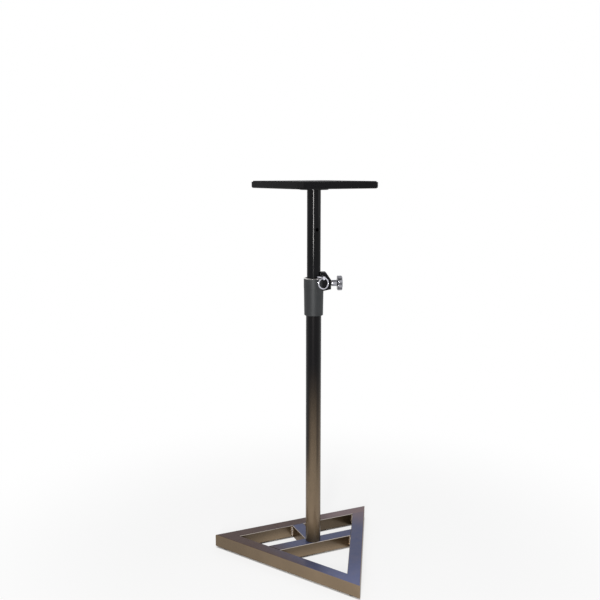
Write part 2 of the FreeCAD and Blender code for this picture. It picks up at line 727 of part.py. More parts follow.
def safety_pin():
    """Plain pin through the upper tube, resting on the collar's rim."""
    body = new_body("safety_pin")
    tail = f"({UPPER_RADIUS} + {d('pin_tail')})"
    front = f"({d('ring_reach')} + {d('ring_end')})"
    shank = new_sketch(body, "XZ_Plane", "pin_shank", f"-{tail}")
    draw_circle(shank, f"{d('pin_diameter')} / 2", y=PIN_AXIS)
    extrude(body, shank, f"{tail} + {front}")
    dress(body, "Chamfer", "Size", d("pin_chamfer"), lambda edge: edge.Closed)
    hole = new_sketch(body, "YZ_Plane", "ring_hole")
    draw_circle(hole, RING_HOLE, x=f"-{d('ring_reach')}", y=PIN_AXIS)
    cut(body, hole, both_ways=True)
    place(body, y=MAST_Y, turn=d("pin_turn"))
    return body


def pull_ring():
    """Wire ring hanging in the cross hole of the pin."""
    ring = doc.addObject("Part::Torus", "pull_ring")
    ring.Label = "pull_ring"
    ring.setExpression("Radius1", RING_RADIUS)
    ring.setExpression("Radius2", f"{d('ring_wire')} / 2")
    reach = d("ring_reach")
    spot = (f"vector({reach} * sin({d('pin_turn')});"
            f" {MAST_Y} - {reach} * cos({d('pin_turn')}); {PIN_AXIS} - {RING_RADIUS})")
    upright = "rotation(vector(1; 0; 0); 90)"
    turned = f"rotation(vector(0; 0; 1); {d('pin_turn')})"
    ring.setExpression("Placement", f"placement({spot}; {turned} * {upright})")
    doc.recompute()
    return ring


safety_pin()
pull_ring()


# ---------------------------------------------------------------- platform

def screw_spots():
    """Centres of the wood screws, as pairs of expressions."""
    radius = f"({d('flange_screw_circle')} / 2)"
    count = round(number(d("flange_screw_count")))
    step = f"(360 / {d('flange_screw_count')})"
    return [
        (f"{radius} * cos(45 + {step} * {i})", f"{radius} * sin(45 + {step} * {i})")
        for i in range(count)
    ]


def clipped_square(sketch, inset="0"):
    """The platform's outline, drawn in by an inset."""
    half = f"({d('plate_side')} / 2 - {inset})"
    short = f"({half} - {d('plate_clip')} + {inset} * (2 - sqrt(2)) / 1)"
    draw_polygon(sketch, [
        (half, f"-{short}"), (half, short), (short, half), (f"-{short}", half),
        (f"-{half}", short), (f"-{half}", f"-{short}"), (f"-{short}", f"-{half}"),
        (short, f"-{half}"),
    ])


def lower_edges_of(body):
    """The edges that lie wholly in a body's underside."""
    level = body.Tip.Shape.BoundBox.ZMin + 0.01
    return lambda edge: edge.BoundBox.ZMax < level


def screw_cone(body, name, extra="0"):
    """Turn one countersunk head about the first screw's axis and copy it round the others."""
    x, y = screw_spots()[0]
    head = f"({d('flange_screw_head')} / 2 + {extra})"
    shank = f"({d('flange_screw_diameter')} / 2 + {extra})"
    cone = body.newObject("PartDesign::SubtractiveCone" if extra != "0"
                          else "PartDesign::AdditiveCone", name)
    cone.AttachmentSupport = [(origin_part(body, "XY_Plane"), "")]
    cone.MapMode = "FlatFace"
    cone.setExpression("Radius1", head)
    cone.setExpression("Radius2", shank)
    cone.setExpression("Height", f"{d('flange_screw_head')} / 2"
                                 f" - {d('flange_screw_diameter')} / 2")
    cone.setExpression("AttachmentOffset.Base.x", x)
    cone.setExpression("AttachmentOffset.Base.y", y)
    cone.setExpression("AttachmentOffset.Base.z", FLANGE_FOOT)
    doc.recompute()
    return repeat_round(body, cone, "Z_Axis", d("flange_screw_count"))


def head_flange():
    """Disc welded round the top of the upper tube, countersunk from below."""
    body = new_body("head_flange")
    disc = new_sketch(body, "XY_Plane", "flange_disc", UPPER_TOP)
    draw_circle(disc, f"{d('flange_diameter')} / 2")
    extrude(body, disc, d("flange_thickness"), downwards=True)
    dress(body, "Chamfer", "Size", d("flange_edge"), lower_edges_of(body))
    holes = new_sketch(body, "XY_Plane", "flange_holes")
    draw_circle(holes, f"{UPPER_RADIUS} + {d('fit_gap')}")
    for x, y in screw_spots():
        draw_circle(holes, f"{d('flange_screw_diameter')} / 2 + {d('bolt_gap')}", x, y)
    cut(body, holes, both_ways=True)
    screw_cone(body, "flange_countersinks", d("fit_gap"))
    place(body, y=MAST_Y, turn=d("head_turn"))
    return body


def top_plate():
    """Lacquered board with clipped corners and rounded lower edges."""
    body = new_body("top_plate")
    outline = new_sketch(body, "XY_Plane", "plate_outline", PLATE_TOP)
    clipped_square(outline)
    extrude(body, outline, d("plate_thickness"), downwards=True)
    dress(body, "Fillet", "Radius", d("plate_round"), lower_edges_of(body))
    holes = new_sketch(body, "XY_Plane", "plate_holes", UPPER_TOP)
    for x, y in screw_spots():
        draw_circle(holes, f"{d('flange_screw_diameter')} / 2 + {d('fit_gap')}", x, y)
    buried = f"{d('flange_screw_length')} - {d('flange_thickness')}"
    cut(body, holes, f"{buried} + {d('flange_screw_spare')}", forwards=True)
    place(body, y=MAST_Y, turn=d("head_turn"))
    return body


def plate_mat():
    """Thin rubber sheet on the board."""
    body = new_body("plate_mat")
    outline = new_sketch(body, "XY_Plane", "mat_outline", PLATE_TOP)
    clipped_square(outline, d("mat_inset"))
    extrude(body, outline, d("mat_thickness"))
    place(body, y=MAST_Y, turn=d("head_turn"))
    return body


def flange_screws():
    """Countersunk wood screws up through the flange into the board."""
    body = new_body("flange_screws")
    shanks = new_sketch(body, "XY_Plane", "screw_shanks", FLANGE_FOOT)
    recesses = new_sketch(body, "XY_Plane", "screw_recesses", FLANGE_FOOT)
    arm = f"({d('flange_screw_cross')} / 2)"
    slot = f"({d('flange_screw_slot')} / 2)"
    for x, y in screw_spots():
        draw_circle(shanks, f"{d('flange_screw_diameter')} / 2", x, y)
        draw_polygon(recesses, [
            (f"{x} + {arm}", f"{y} - {slot}"), (f"{x} + {arm}", f"{y} + {slot}"),
            (f"{x} + {slot}", f"{y} + {slot}"), (f"{x} + {slot}", f"{y} + {arm}"),
            (f"{x} - {slot}", f"{y} + {arm}"), (f"{x} - {slot}", f"{y} + {slot}"),
            (f"{x} - {arm}", f"{y} + {slot}"), (f"{x} - {arm}", f"{y} - {slot}"),
            (f"{x} - {slot}", f"{y} - {slot}"), (f"{x} - {slot}", f"{y} - {arm}"),
            (f"{x} + {slot}", f"{y} - {arm}"), (f"{x} + {slot}", f"{y} - {slot}"),
        ])
    extrude(body, shanks, d("flange_screw_length"))
    screw_cone(body, "screw_heads")
    cut(body, recesses, f"{d('flange_screw_head')} / 4", forwards=True)
    place(body, y=MAST_Y, turn=d("head_turn"))
    return body


head_flange()
top_plate()
plate_mat()
flange_screws()


# ---------------------------------------------------------------- check and write

doc.recompute()
for item in doc.Objects:
    if "Invalid" in item.State or "Error" in item.State:
        raise RuntimeError(f"{item.Label} failed: {item.State}")

NODES = [item for item in doc.Objects
         if item.TypeId == "PartDesign::Body" or item.TypeId == "Part::Torus"]
for node in NODES:
    if node.Shape.isNull() or not node.Shape.isValid() or not node.Shape.Solids:
        raise RuntimeError(f"{node.Label} has no valid solid")
for node in NODES:
    node.Shape.exportStep(os.path.join("parts", node.Label + ".step"))
    box = node.Shape.BoundBox
    print(f"{node.Label:18s} solids {len(node.Shape.Solids)}  volume {node.Shape.Volume:10.1f}"
          f"  x {box.XMin:7.1f} {box.XMax:7.1f}  y {box.YMin:7.1f} {box.YMax:7.1f}"
          f"  z {box.ZMin:6.1f} {box.ZMax:6.1f}")
print(f"mast axis at y {number(MAST_Y):.2f}, rim {number(RIM):.2f}, pin {number(PIN_AXIS):.2f},"
      f" clamp {number(CLAMP_Z):.2f}, platform {number(PLATE_TOP):.2f}")
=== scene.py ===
"""Looks of a height-adjustable speaker stand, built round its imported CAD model."""

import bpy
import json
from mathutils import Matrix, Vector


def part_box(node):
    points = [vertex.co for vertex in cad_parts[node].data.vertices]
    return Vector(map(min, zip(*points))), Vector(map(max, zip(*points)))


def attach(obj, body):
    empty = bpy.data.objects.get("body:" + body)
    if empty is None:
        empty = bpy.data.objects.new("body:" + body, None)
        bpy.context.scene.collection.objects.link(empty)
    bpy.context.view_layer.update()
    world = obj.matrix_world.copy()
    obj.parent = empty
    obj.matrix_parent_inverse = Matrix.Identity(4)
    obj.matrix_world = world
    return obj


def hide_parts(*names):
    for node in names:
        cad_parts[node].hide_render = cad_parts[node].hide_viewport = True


bl_info = {
    "name": "Speaker Stand",
    "version": (1, 0, 0),
    "blender": (4, 5, 0),
    "location": "View3D > Sidebar > Stand",
    "description": "Telescopic speaker stand on a triangular base of square tube",
    "category": "Object",
}

import json
import math

import bmesh
import bpy
from mathutils import Matrix, Vector

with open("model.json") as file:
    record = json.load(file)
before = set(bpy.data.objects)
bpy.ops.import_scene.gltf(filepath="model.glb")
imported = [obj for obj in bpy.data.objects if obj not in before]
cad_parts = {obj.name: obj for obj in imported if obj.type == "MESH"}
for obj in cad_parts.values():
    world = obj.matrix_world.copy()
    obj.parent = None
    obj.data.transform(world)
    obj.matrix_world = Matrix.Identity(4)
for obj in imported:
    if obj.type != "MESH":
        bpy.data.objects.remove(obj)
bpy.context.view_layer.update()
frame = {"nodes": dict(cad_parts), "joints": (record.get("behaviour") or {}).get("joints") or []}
MM = 0.001


# ---------------------------------------------------------------- places read from the CAD

def joint(name):
    """A joint's place and direction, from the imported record."""
    found = next(j for j in frame["joints"] if j["name"] == name)
    return Vector(found.get("pos_m", (0, 0, 0))), Vector(found["axis"]).normalized()


def along_clamp(name):
    """How far each corner of a node lies along the clamp's axis, and from it."""
    found = []
    for vert in frame["nodes"][name].data.vertices:
        arm = vert.co - CLAMP_AT_MAST
        along = arm.dot(CLAMP_AXIS)
        found.append((along, (arm - CLAMP_AXIS * along).length))
    return found


def clamp_ends(name):
    """Where a node of the clamp starts and ends along the clamp's axis."""
    reach = [along for along, _ in along_clamp(name)]
    return min(reach), max(reach)


LOWER_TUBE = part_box("lower_tube")
BACK_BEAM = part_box("base_beam_back")
MAST = Vector(((LOWER_TUBE[0].x + LOWER_TUBE[1].x) / 2,
               (LOWER_TUBE[0].y + LOWER_TUBE[1].y) / 2, 0))
BEAM = BACK_BEAM[1].z - BACK_BEAM[0].z
BASE_SIDE = BACK_BEAM[1].x - BACK_BEAM[0].x
HALF_CORNER = math.radians(30)
INRADIUS = BASE_SIDE * math.tan(HALF_CORNER) / 2
MAST_RADIUS = (LOWER_TUBE[1].x - LOWER_TUBE[0].x) / 2
CLAMP_PLACE, CLAMP_AXIS = joint("clamp_turn")
RING_PLACE = joint("ring_swing")[0]
PIN_AXIS = joint("pin_pull")[1]
CLAMP_AT_MAST = Vector((MAST.x, MAST.y, CLAMP_PLACE.z))


# ---------------------------------------------------------------- shader tools

class Value:
    """A number or a node's output, with arithmetic that adds Math nodes."""

    def __init__(self, shade, link):
        self.shade = shade
        self.link = link

    def _math(self, operation, *others, reverse=False):
        values = [self, *others]
        if reverse:
            values.reverse()
        return self.shade.node("ShaderNodeMath", {"operation": operation}, dict(enumerate(values)))

    def __add__(self, other):
        return self._math("ADD", other)

    def __sub__(self, other):
        return self._math("SUBTRACT", other)

    def __mul__(self, other):
        return self._math("MULTIPLY", other)

    def __truediv__(self, other):
        return self._math("DIVIDE", other)

    def __rsub__(self, other):
        return self._math("SUBTRACT", other, reverse=True)

    def __pow__(self, other):
        return self._math("POWER", other)

    __radd__ = __add__
    __rmul__ = __mul__

    def abs(self):
        return self._math("ABSOLUTE")

    def higher(self, other):
        return self._math("MAXIMUM", other)

    def lower(self, other):
        return self._math("MINIMUM", other)


class Shade:
    """One material under construction."""

    def __init__(self, name, **constants):
        self.material = bpy.data.materials.new(name)
        self.material.use_nodes = True
        self.tree = self.material.node_tree
        self.shader = next(n for n in self.tree.nodes if n.type == "BSDF_PRINCIPLED")
        for socket, value in constants.items():
            self.shader.inputs[socket.replace("_", " ")].default_value = value

    def node(self, kind, settings=None, inputs=None, output=0):
        """A node with its settings first and then its sockets; returns one of its outputs."""
        made = self.tree.nodes.new(kind)
        for key, value in (settings or {}).items():
            setattr(made, key, value)
        for key, value in (inputs or {}).items():
            if isinstance(value, Value):
                self.tree.links.new(value.link, made.inputs[key])
            else:
                made.inputs[key].default_value = value
        return Value(self, made.outputs[output])

    def feed(self, socket, value):
        self.tree.links.new(value.link, self.shader.inputs[socket])

    def place(self, scale=(1, 1, 1), rotation=(0, 0, 0), location=(0, 0, 0)):
        """Object coordinates, moved and scaled."""
        coordinates = self.node("ShaderNodeTexCoord", output="Object")
        return self.node("ShaderNodeMapping", None, {
            "Vector": coordinates, "Scale": scale, "Rotation": rotation, "Location": location})

    def axes(self, place):
        """The three coordinates of a place, apart."""
        return [self.node("ShaderNodeSeparateXYZ", None, {0: place}, output=i) for i in range(3)]

    def normal_z(self):
        """How far the surface faces up, from -1 to 1."""
        geometry = self.node("ShaderNodeNewGeometry", output="Normal")
        return self.node("ShaderNodeSeparateXYZ", None, {0: geometry}, output=2)

    def beam_reach(self, x, y):
        """How far out a point is, measured square to the nearest side of the base."""
        y = y - MAST.y
        slope = x.abs() * math.cos(HALF_CORNER) - y * math.sin(HALF_CORNER)
        return slope.higher(y)

    def band(self, value, centre):
        """1 within the width of one side of the base, 0 beyond it."""
        return self.ramp((value - centre).abs(), BEAM / 2 + 1.5 * MM, BEAM / 2 - 0.5 * MM)

    def noise(self, place, scale, detail=3.0, roughness=0.5):
        return self.node("ShaderNodeTexNoise", None, {
            "Vector": place, "Scale": scale, "Detail": detail, "Roughness": roughness})

    def cells(self, place, scale, feature="F1", output="Distance"):
        return self.node("ShaderNodeTexVoronoi", {"feature": feature}, {
            "Vector": place, "Scale": scale}, output=output)

    def ramp(self, value, low, high):
        """0 below low, 1 above high, smooth between."""
        return self.node("ShaderNodeMapRange", {"interpolation_type": "SMOOTHSTEP"}, {
            "Value": value, "From Min": low, "From Max": high})

    def mix(self, factor, first, second):
        """A colour between two, each a plain colour or a node's output."""
        def with_alpha(item):
            return item if isinstance(item, Value) else (*item, 1)
        return self.node("ShaderNodeMix", {"data_type": "RGBA"}, {
            0: factor, 6: with_alpha(first), 7: with_alpha(second)}, output=2)

    def bump(self, height, depth, strength=1.0):
        return self.node("ShaderNodeBump", None, {
            "Height": height, "Distance": depth, "Strength": strength})

    def finish(self, colour=None, roughness=None, normal=None, metallic=None, coat=None):
        """Link what varies over the surface and hand over the material."""
        for socket, value in (("Base Color", colour), ("Roughness", roughness),
                              ("Normal", normal), ("Metallic", metallic),
                              ("Coat Weight", coat)):
            if value is not None:
                self.feed(socket, value)
        return self.material


# ---------------------------------------------------------------- finishes

MAST_REFLECTION_HEIGHTS = (0.10, 0.48)  # heights between which the mast's bronze turns black, a painted reflection
PAINTED_SHADE_TURN = math.radians(-24)  # turn about the mast's axis of its painted shade on the left and its painted dark line
# Colour of the painted highlight on the base's inner upper edges
EDGE_HIGHLIGHT = (0.55, 0.50, 0.46)
# Colour of the collar's rim: partly wear, partly a painted highlight
RIM_WEAR_AND_HIGHLIGHT = (0.62, 0.60, 0.58)
SLIDING_MARK = (0.03, 0.03, 0.033)


def shades_of(colour, *shares):
    """Darker and lighter versions of a colour."""
    return [tuple(min(1.0, c * share) for c in colour) for share in shares]


def metallic_bronze(settings, name="metallic_bronze", reflection_heights=None):
    """Dark bronze metallic paint: fine flake, orange peel and handling marks.

    Upward faces carry a painted reflection that is mauve at the back and on the left, paler
    towards the back right corner, and blue on the right.  The faces round the openings carry
    painted shade, darker towards their top and in the back right corner, and a pale painted
    highlight on their upper edges.  Without reflection heights, painted shade darkens the sides
    towards the left corner.  Given two heights, a painted reflection turns the paint black towards
    the upper one, and painted shade turns it black lower down along the left of the tube and at
    its foot, with a painted dark line on its right.
    """
    shade = Shade(name, Coat_Roughness=0.10, Coat_IOR=1.5, Specular_IOR_Level=0.2,
                  Specular_Tint=(0.45, 0.42, 0.42, 1))
    place = shade.place()
    sparkle = shade.node("ShaderNodeSeparateColor", None,
                         {0: shade.cells(place, 2600, output="Color")})
    cloud = shade.ramp(shade.noise(place, 9, 3, 0.5), 0.3, 0.7)
    x, y, z = shade.axes(place)
    if reflection_heights is None:
        # Painted shade darkens the base's sides towards the left corner
        tone, left_shade = settings.bronze, shade.ramp(x, -0.03, -0.19) * 0.42
    else:
        # The mast's lighter bronze is part of its painted reflection
        tone, left_shade = shades_of(settings.bronze, 1.32)[0], 0.0
    dull, bright, glint, deep = shades_of(tone, 0.88, 1.08, 1.6, 0.15)
    side = shade.mix(sparkle * 0.2, shade.mix(cloud, dull, bright), glint)
    side = shade.mix(left_shade, side, deep)
    wander = shade.noise(place, 12, 2, 0.5) * 0.08 - 0.04
    # Painted reflection on the upward faces: mauve at the back and on the left, blue on the right
    back = shade.mix(shade.ramp(x, 0.0, 0.14), settings.reflection_left, settings.reflection_back)
    front = shade.mix(shade.ramp(y, -0.04, -0.17), settings.reflection_right,
                      shades_of(settings.reflection_right, 1.65)[0])
    front = shade.mix(shade.ramp(x, 0.10, 0.16) * shade.ramp(y, 0.04, 0.15) * 0.7,
                      front, settings.reflection_back)
    blue = shade.ramp(x + wander, -0.135, -0.03) * shade.ramp(y + wander * 0.1, 0.152, 0.144)
    top_reflection = shade.mix(blue, back, front)
    opening = INRADIUS - BEAM
    inside = shade.ramp(shade.beam_reach(x, y), opening + 4 * MM, opening + 1 * MM)
    # Painted shade on the faces round the openings: darker towards their top and in the back right
    # corner
    corner = shade.ramp(x, -0.05, 0.03) * shade.ramp(y, 0.10, 0.14) * 0.7
    shadow = inside * (shade.ramp(z, 0.004, 0.027) * 0.5).higher(corner)
    side = shade.mix(shadow, side, deep)
    facing = shade.normal_z()
    edge = shade.ramp(facing, 0.25, 0.5) * shade.ramp(facing, 0.9, 0.7) * inside
    upward = shade.ramp(facing, 0.6, 0.98)
    smudge = shade.noise(place, 55, 4, 0.6)
    dust = (upward * (smudge * 0.3 + 0.82)).lower(1.0)
    # Upward faces take the painted reflection colours through the dust mask
    colour = shade.mix(dust, side, top_reflection)
    # Painted highlight on the upper edges round the openings
    colour = shade.mix(edge * 0.7, colour, EDGE_HIGHLIGHT)
    metal = 0.9 - dust * 0.65
    coat = 0.30 - dust * 0.26
    if reflection_heights is not None:
        # Painted shade along the tube's left side and at its foot, a painted dark line on its
        # right, and a painted reflection that turns the bronze black higher up
        across = (x * math.cos(PAINTED_SHADE_TURN) + (y - MAST.y) * math.sin(PAINTED_SHADE_TURN)) / MAST_RADIUS
        left = shade.ramp(across, -0.25, -0.8) * shade.ramp(z, 0.15, 0.28)
        foot = shade.ramp(z, 0.085, 0.035) * 0.8
        line = shade.ramp((across - 0.55).abs(), 0.28, 0.05) * shade.ramp(z, 0.15, 0.27)
        dark = 1 - (1 - shade.ramp(z, *reflection_heights)) * (1 - left * 0.95) * (1 - line * 0.5) * (1 - foot)
        colour = shade.mix(dark, colour, settings.black)
        metal = (metal - 0.4) * (1 - dark)
        coat = coat * (1 - dark * 0.8)
    rub = shade.ramp(shade.noise(place, 34, 6, 0.62), 0.58, 0.72)
    peel = shade.noise(place, 420, 2, 0.4)
    return shade.finish(colour, 0.27 + sparkle * 0.05 + dust * 0.12 + rub * 0.08,
                        shade.bump(peel, 0.00004, 0.5), metal, coat)


def gloss_black(settings):
    """Black stove enamel with orange peel and faint sliding marks along the tube."""
    shade = Shade("gloss_black", Coat_Roughness=0.13, Coat_IOR=1.5, Specular_IOR_Level=0.02)
    place = shade.place()
    cloud = shade.noise(place, 14, 3, 0.5)
    colour = shade.mix(shade.ramp(cloud, 0.3, 0.7), *shades_of(settings.black, 0.8, 1.5))
    streaks = shade.noise(shade.place((160, 160, 1.2)), 6, 4, 0.6)
    marks = shade.ramp(streaks, 0.60, 0.78)
    colour = shade.mix(marks * 0.25, colour, SLIDING_MARK)
    peel = shade.noise(place, 380, 2, 0.4)
    return shade.finish(colour, 0.14 + marks * 0.18 + cloud * 0.05,
                        shade.bump(peel, 0.000003, 0.45), coat=0.18 - marks * 0.06)


def cast_grey(settings):
    """Satin grey die casting: fine grain with darker pores, and a rim rubbed bright, partly real
    wear and partly a painted highlight.
    """
    shade = Shade("cast_grey", Specular_IOR_Level=0.5, Specular_Tint=(0.6, 0.6, 0.6, 1))
    place = shade.place()
    grain = shade.noise(place, 1100, 3, 0.6)
    patch = shade.noise(place, 40, 4, 0.6)
    pores = shade.ramp(shade.cells(place, 700), 0.10, 0.22)
    dull, bright, pit = shades_of(settings.collar, 0.9, 1.08, 0.7)
    colour = shade.mix(shade.ramp(patch, 0.3, 0.7), dull, bright)
    colour = shade.mix(1 - pores, colour, pit)
    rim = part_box("collar")[1].z
    height = shade.axes(place)[2] + patch * 0.6 * MM
    # The rim's bright band: partly wear, partly a painted highlight
    rim_wear_and_highlight = shade.ramp(height, rim - 1.3 * MM, rim - 0.9 * MM)
    colour = shade.mix(rim_wear_and_highlight, colour, RIM_WEAR_AND_HIGHLIGHT)
    return shade.finish(colour, 0.44 + patch * 0.1 - rim_wear_and_highlight * 0.15,
                        shade.bump(grain * 0.7 + pores * 0.3, 0.00003, 0.5),
                        rim_wear_and_highlight * 0.7 + 0.3)


def bright_chrome(settings, name="bright_chrome", flutes=None, shine=1.0):
    """Chrome plate with fine polishing lines and a few finger smears.

    Flutes are given as a matrix that stands on the knob's axis, the radius at their bottom
    and the knob's own.  Painted shade darkens the metal in them, and not on the knob's face.
    """
    shade = Shade(name, Metallic=1.0, Specular_Tint=(0.6, 0.6, 0.6, 1))
    place = shade.place()
    smear = shade.ramp(shade.noise(place, 120, 5, 0.65), 0.52, 0.75)
    lines = shade.noise(shade.place((900, 900, 60)), 5, 3, 0.6)
    # A shine above 1 makes a lighter copy of the chrome: painted light, used for the pin and the
    # ring
    colour = shade.mix(smear, *shades_of(settings.chrome, shine, shine * 0.85))
    if flutes is not None:
        stand, bottom, top = flutes
        back = stand.inverted()
        x, y, _ = shade.axes(shade.place(rotation=back.to_euler(), location=back.translation))
        radius = (x * x + y * y) ** 0.5
        depth = (shade.ramp(radius, top, bottom)
                 * shade.ramp(radius, bottom - 2.5 * MM, bottom - 1 * MM))
        # Painted shade in the flutes
        flute_shade = shades_of(settings.chrome, 0.12)[0]
        colour = shade.mix(depth * (smear * 0.3 + 0.7), colour, flute_shade)
    return shade.finish(colour, 0.05 + smear * 0.12 + lines * 0.04,
                        shade.bump(lines, 0.000008, 0.4))


def moulded_black(settings):
    """Black moulded plastic with a fine spark texture."""
    shade = Shade("moulded_black", Specular_IOR_Level=0.05)
    place = shade.place()
    spark = shade.cells(place, 1500)
    cloud = shade.noise(place, 60, 3, 0.5)
    colour = shade.mix(shade.ramp(cloud, 0.3, 0.7), *shades_of(settings.plastic, 0.8, 1.4))
    return shade.finish(colour, 0.42 + spark * 0.25, shade.bump(spark, 0.00005, 0.6))


def dark_nylon(settings):
    """Nylon rubbed to a soft shine where it slides."""
    shade = Shade("dark_nylon")
    place = shade.place()
    rub = shade.noise(shade.place((500, 500, 20)), 3, 3, 0.6)
    colour = shade.mix(shade.ramp(rub, 0.35, 0.7), *shades_of(settings.nylon, 1, 1.5))
    grain = shade.noise(place, 900)
    return shade.finish(colour, 0.3 + rub * 0.25, shade.bump(grain, 0.00003, 0.4))


def turned_brass(settings):
    """Turned brass with tool marks and a little tarnish."""
    shade = Shade("turned_brass", Metallic=1.0)
    place = shade.place()
    tarnish = shade.ramp(shade.noise(place, 260, 4, 0.6), 0.45, 0.75)
    marks = shade.noise(shade.place((1500, 1500, 300)), 3, 2, 0.5)
    colour = shade.mix(tarnish, *shades_of(settings.brass, 1, 0.55))
    return shade.finish(colour, 0.22 + tarnish * 0.25, shade.bump(marks, 0.00002, 0.5))


def zinc_plate(settings):
    """Zinc plated steel: mottled bright grey."""
    shade = Shade("zinc_plate", Metallic=1.0)
    place = shade.place()
    spangle = shade.cells(place, 420, output="Color")
    tone = shade.node("ShaderNodeSeparateColor", None, {0: spangle})
    cloud = shade.noise(place, 180, 4, 0.6)
    colour = shade.mix(tone * 0.6 + cloud * 0.4, *shades_of(settings.zinc, 0.75, 1))
    return shade.finish(colour, 0.28 + cloud * 0.2, shade.bump(cloud, 0.00003, 0.5))


def lacquered_board(settings):
    """Black lacquer with the fibre of the board just showing, and small knocks."""
    shade = Shade("lacquered_board", Coat_Roughness=0.18, Coat_IOR=1.5, Specular_IOR_Level=0.04)
    place = shade.place()
    fibre = shade.noise(shade.place((1, 14, 14)), 60, 5, 0.65)
    cloud = shade.noise(place, 16, 3, 0.5)
    colour = shade.mix(shade.ramp(cloud, 0.3, 0.7), *shades_of(settings.board, 1, 1.5))
    return shade.finish(colour, 0.36 + fibre * 0.2,
                        shade.bump(fibre * 0.5 + cloud * 0.5, 0.00008, 0.5),
                        coat=0.03 + cloud * 0.03)


def pebbled_rubber(settings):
    """Matt rubber sheet with a fine pebble grain and traces of dust."""
    shade = Shade("pebbled_rubber", Specular_IOR_Level=0.15)
    place = shade.place()
    pebble = shade.cells(place, 620, "SMOOTH_F1")
    dust = shade.ramp(shade.noise(place, 30, 5, 0.65), 0.45, 0.75)
    colour = shade.mix(dust * 0.5, *shades_of(settings.rubber, 1, 2.2))
    return shade.finish(colour, 0.72 + dust * 0.15, shade.bump(pebble, 0.00025, 0.7))


# ---------------------------------------------------------------- mesh tools

SHARP = math.radians(32)  # edges that turn less than this are shaded smooth
SAME_PLACE = 1e-6  # corners closer than this are one corner


def put(name, bm, body, material, nodes):
    """Turn a finished bmesh into a piece that rides on a body and stands for CAD nodes."""
    bmesh.ops.remove_doubles(bm, verts=bm.verts, dist=SAME_PLACE)
    bmesh.ops.recalc_face_normals(bm, faces=bm.faces)
    for face in bm.faces:
        face.smooth = True
    for edge in bm.edges:
        edge.smooth = not edge.is_manifold or edge.calc_face_angle() < SHARP
    mesh = bpy.data.meshes.new(name)
    bm.to_mesh(mesh)
    bm.free()
    mesh.materials.append(material)
    piece = bpy.data.objects.new(name, mesh)
    bpy.context.scene.collection.objects.link(piece)
    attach(piece, body)
    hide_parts(*nodes)


def frame_along(axis, origin):
    """A matrix whose Z axis runs along a level direction, from an origin."""
    z = axis.normalized()
    x = Vector((0, 0, 1)).cross(z).normalized()
    y = z.cross(x)
    return Matrix.Translation(origin) @ Matrix((x, y, z)).transposed().to_4x4()


def turned(bm, profile, matrix, steps=64):
    """Spin a half profile of (radius, height) points about the matrix's Z axis."""
    before = set(bm.verts)
    points = [bm.verts.new((radius, 0, height)) for radius, height in profile]
    edges = [bm.edges.new(pair) for pair in zip(points, points[1:])]
    bmesh.ops.spin(bm, geom=points + edges, cent=(0, 0, 0), axis=(0, 0, 1), dvec=(0, 0, 0),
                   angle=math.tau, steps=steps, use_merge=True, use_duplicate=False)
    made = [v for v in bm.verts if v not in before]
    bmesh.ops.remove_doubles(bm, verts=made, dist=SAME_PLACE / 10)
    made = [v for v in bm.verts if v not in before]
    bmesh.ops.transform(bm, matrix=matrix, verts=made)


def drawn_out(bm, face, first):
    """Extrude a face; only the first one stays behind, as the piece's other end."""
    grown = bmesh.ops.extrude_face_region(bm, geom=[face])["geom"]
    if face != first:
        bm.faces.remove(face)
    return next(g for g in grown if isinstance(g, bmesh.types.BMFace))


def arc(centre, radius, start, end, steps=5):
    """Points of a round edge, for a turned profile; angles in degrees."""
    turns = [math.radians(start + (end - start) * i / steps) for i in range(steps + 1)]
    return [(centre[0] + radius * math.cos(a), centre[1] + radius * math.sin(a)) for a in turns]


# ---------------------------------------------------------------- what a user would change

def colour_of(name, default):
    """A colour that a user may change."""
    return bpy.props.FloatVectorProperty(
        name=name, description=f"{name}, linear", subtype="COLOR", size=3, min=0, max=1,
        default=default)


def length(name, default, description):
    """A size in metres that a user may change."""
    return bpy.props.FloatProperty(
        name=name, description=description, unit="LENGTH", default=default, min=0)


class StandFinishes(bpy.types.PropertyGroup):
    """Colours of the stand's finishes."""

    bronze: colour_of("Bronze paint", (0.240, 0.175, 0.112))
    # The next three colours are painted reflections on the base's upward faces
    reflection_left: colour_of("Film on the left", (0.060, 0.034, 0.030))
    reflection_back: colour_of("Film at the back", (0.190, 0.135, 0.145))
    reflection_right: colour_of("Film on the right", (0.067, 0.079, 0.155))
    black: colour_of("Black enamel", (0.003, 0.003, 0.0036))
    collar: colour_of("Collar casting", (0.028, 0.030, 0.032))
    chrome: colour_of("Chrome", (0.33, 0.33, 0.36))
    plastic: colour_of("Clamp block", (0.005, 0.005, 0.006))
    nylon: colour_of("Nylon", (0.035, 0.035, 0.038))
    brass: colour_of("Brass", (0.72, 0.50, 0.20))
    zinc: colour_of("Zinc plate", (0.62, 0.63, 0.66))
    board: colour_of("Platform board", (0.004, 0.004, 0.0045))
    rubber: colour_of("Rubber", (0.012, 0.012, 0.0125))


class StandDetails(bpy.types.PropertyGroup):
    """Sizes of the pieces that are modelled here."""

    flutes: bpy.props.IntProperty(
        name="Flutes", description="Flutes round the clamp knob", default=8, min=3)
    flute_depth: length("Flute depth", 0.0024, "Depth of the knob's flutes")
    knob_edge: length("Knob edge", 0.0022, "Rounding of the knob's head")
    weld_radius: length("Weld bead", 0.0028, "Radius of the weld beads")
    weld_ripples: bpy.props.IntProperty(
        name="Weld ripples", description="Ripples along one weld bead", default=14, min=2)
    thread_pitch: length("Thread pitch", 0.00125, "Pitch of the clamp screw's thread")
    thread_depth: length("Thread depth", 0.0007, "Depth of the clamp screw's thread")


